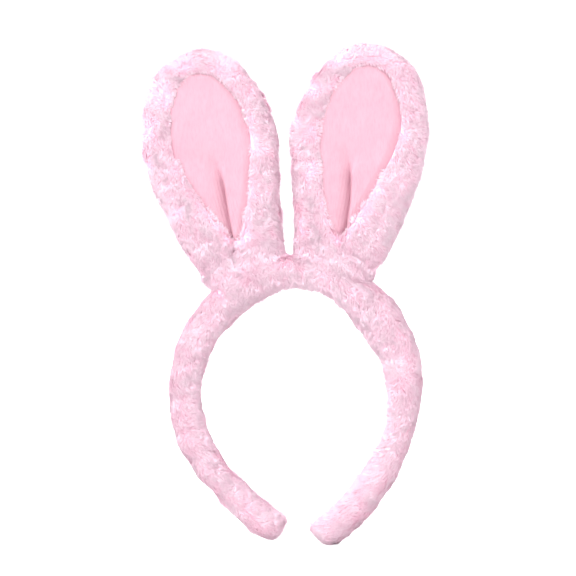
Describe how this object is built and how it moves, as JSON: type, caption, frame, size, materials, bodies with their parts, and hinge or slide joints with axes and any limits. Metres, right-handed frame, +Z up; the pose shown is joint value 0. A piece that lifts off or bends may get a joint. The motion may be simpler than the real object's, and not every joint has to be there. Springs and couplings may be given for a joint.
{
  "type": "animal ears headband",
  "caption": "Plush bunny-ear headband: a sprung, fur-covered arch for the head with two upright padded ears lined in velour.",
  "frame": {"origin": "the middle of the flat under the crown, where the band rests on the head", "axes": "+X to the right as seen from the front, -Y to the front (the side with the ear linings), +Z up along the ears; left and right are as seen from the front"},
  "size_m": [0.1792, 0.0246, 0.31],
  "materials": {
    "pink_fur": "long soft pile",
    "pink_velour": "short smooth pile",
    "pink_thread": "matte spun thread",
    "white_plastic": "moulded",
    "white_foam": "open-cell foam",
    "polyester_wadding": "loose fibre",
    "steel_wire": "drawn",
    "cloth_tape": "woven"
  },
  "bodies": {
    "crown": {"crown_fur_cover": "pink_fur", "crown_core_band": "white_plastic", "crown_foam_pad": "white_foam", "crown_seam_thread": "pink_thread", "left_ear_binding_tape": "cloth_tape", "right_ear_binding_tape": "cloth_tape"},
    "left_arm": {"left_arm_fur_cover": "pink_fur", "left_arm_core_band": "white_plastic", "left_arm_foam_pad": "white_foam", "left_arm_seam_thread": "pink_thread", "left_arm_tip_stitch": "pink_thread"},
    "right_arm": {"right_arm_fur_cover": "pink_fur", "right_arm_core_band": "white_plastic", "right_arm_foam_pad": "white_foam", "right_arm_seam_thread": "pink_thread", "right_arm_tip_stitch": "pink_thread"},
    "left_ear": {"left_ear_back_fur_lower": "pink_fur", "left_ear_front_fur_lower": "pink_fur", "left_ear_lining_lower": "pink_velour", "left_ear_wadding_lower": "polyester_wadding", "left_ear_wire_loop_lower": "steel_wire", "left_ear_lining_seam_lower": "pink_thread", "left_ear_pleat_tack": "pink_thread", "left_ear_base_stitch": "pink_thread"},
    "right_ear": {"right_ear_back_fur_lower": "pink_fur", "right_ear_front_fur_lower": "pink_fur", "right_ear_lining_lower": "pink_velour", "right_ear_wadding_lower": "polyester_wadding", "right_ear_wire_loop_lower": "steel_wire", "right_ear_lining_seam_lower": "pink_thread", "right_ear_pleat_tack": "pink_thread", "right_ear_base_stitch": "pink_thread"},
    "left_ear_tip": {"left_ear_back_fur_tip": "pink_fur", "left_ear_front_fur_tip": "pink_fur", "left_ear_lining_tip": "pink_velour", "left_ear_wadding_tip": "polyester_wadding", "left_ear_wire_loop_tip": "steel_wire", "left_ear_lining_seam_tip": "pink_thread"},
    "right_ear_tip": {"right_ear_back_fur_tip": "pink_fur", "right_ear_front_fur_tip": "pink_fur", "right_ear_lining_tip": "pink_velour", "right_ear_wadding_tip": "polyester_wadding", "right_ear_wire_loop_tip": "steel_wire", "right_ear_lining_seam_tip": "pink_thread"}
  },
  "joints": [
    {"name": "left_arm_flex", "type": "hinge", "parent": "crown", "child": "left_arm", "pos_m": [-0.05058, 0, -0.02075], "axis": [0, 1, 0], "range_deg": [-3, 14], "stiffness_Nm_per_rad": 0.6},
    {"name": "right_arm_flex", "type": "hinge", "parent": "crown", "child": "right_arm", "pos_m": [0.05058, 0, -0.02075], "axis": [0, -1, 0], "range_deg": [-3, 14], "stiffness_Nm_per_rad": 0.6},
    {"name": "left_ear_tilt", "type": "hinge", "parent": "crown", "child": "left_ear", "pos_m": [-0.02377, 0, 0.01931], "axis": [1, 0, 0], "range_deg": [-35, 40], "stiffness_Nm_per_rad": 0.08},
    {"name": "right_ear_tilt", "type": "hinge", "parent": "crown", "child": "right_ear", "pos_m": [0.02377, 0, 0.01931], "axis": [1, 0, 0], "range_deg": [-35, 40], "stiffness_Nm_per_rad": 0.08},
    {"name": "left_ear_fold", "type": "hinge", "parent": "left_ear", "child": "left_ear_tip", "pos_m": [-0.04602, 0.00167, 0.08784], "axis": [1, 0, 0], "range_deg": [-25, 60], "stiffness_Nm_per_rad": 0.05},
    {"name": "right_ear_fold", "type": "hinge", "parent": "right_ear", "child": "right_ear_tip", "pos_m": [0.04602, 0.00167, 0.08784], "axis": [1, 0, 0], "range_deg": [-25, 60], "stiffness_Nm_per_rad": 0.05}
  ]
}
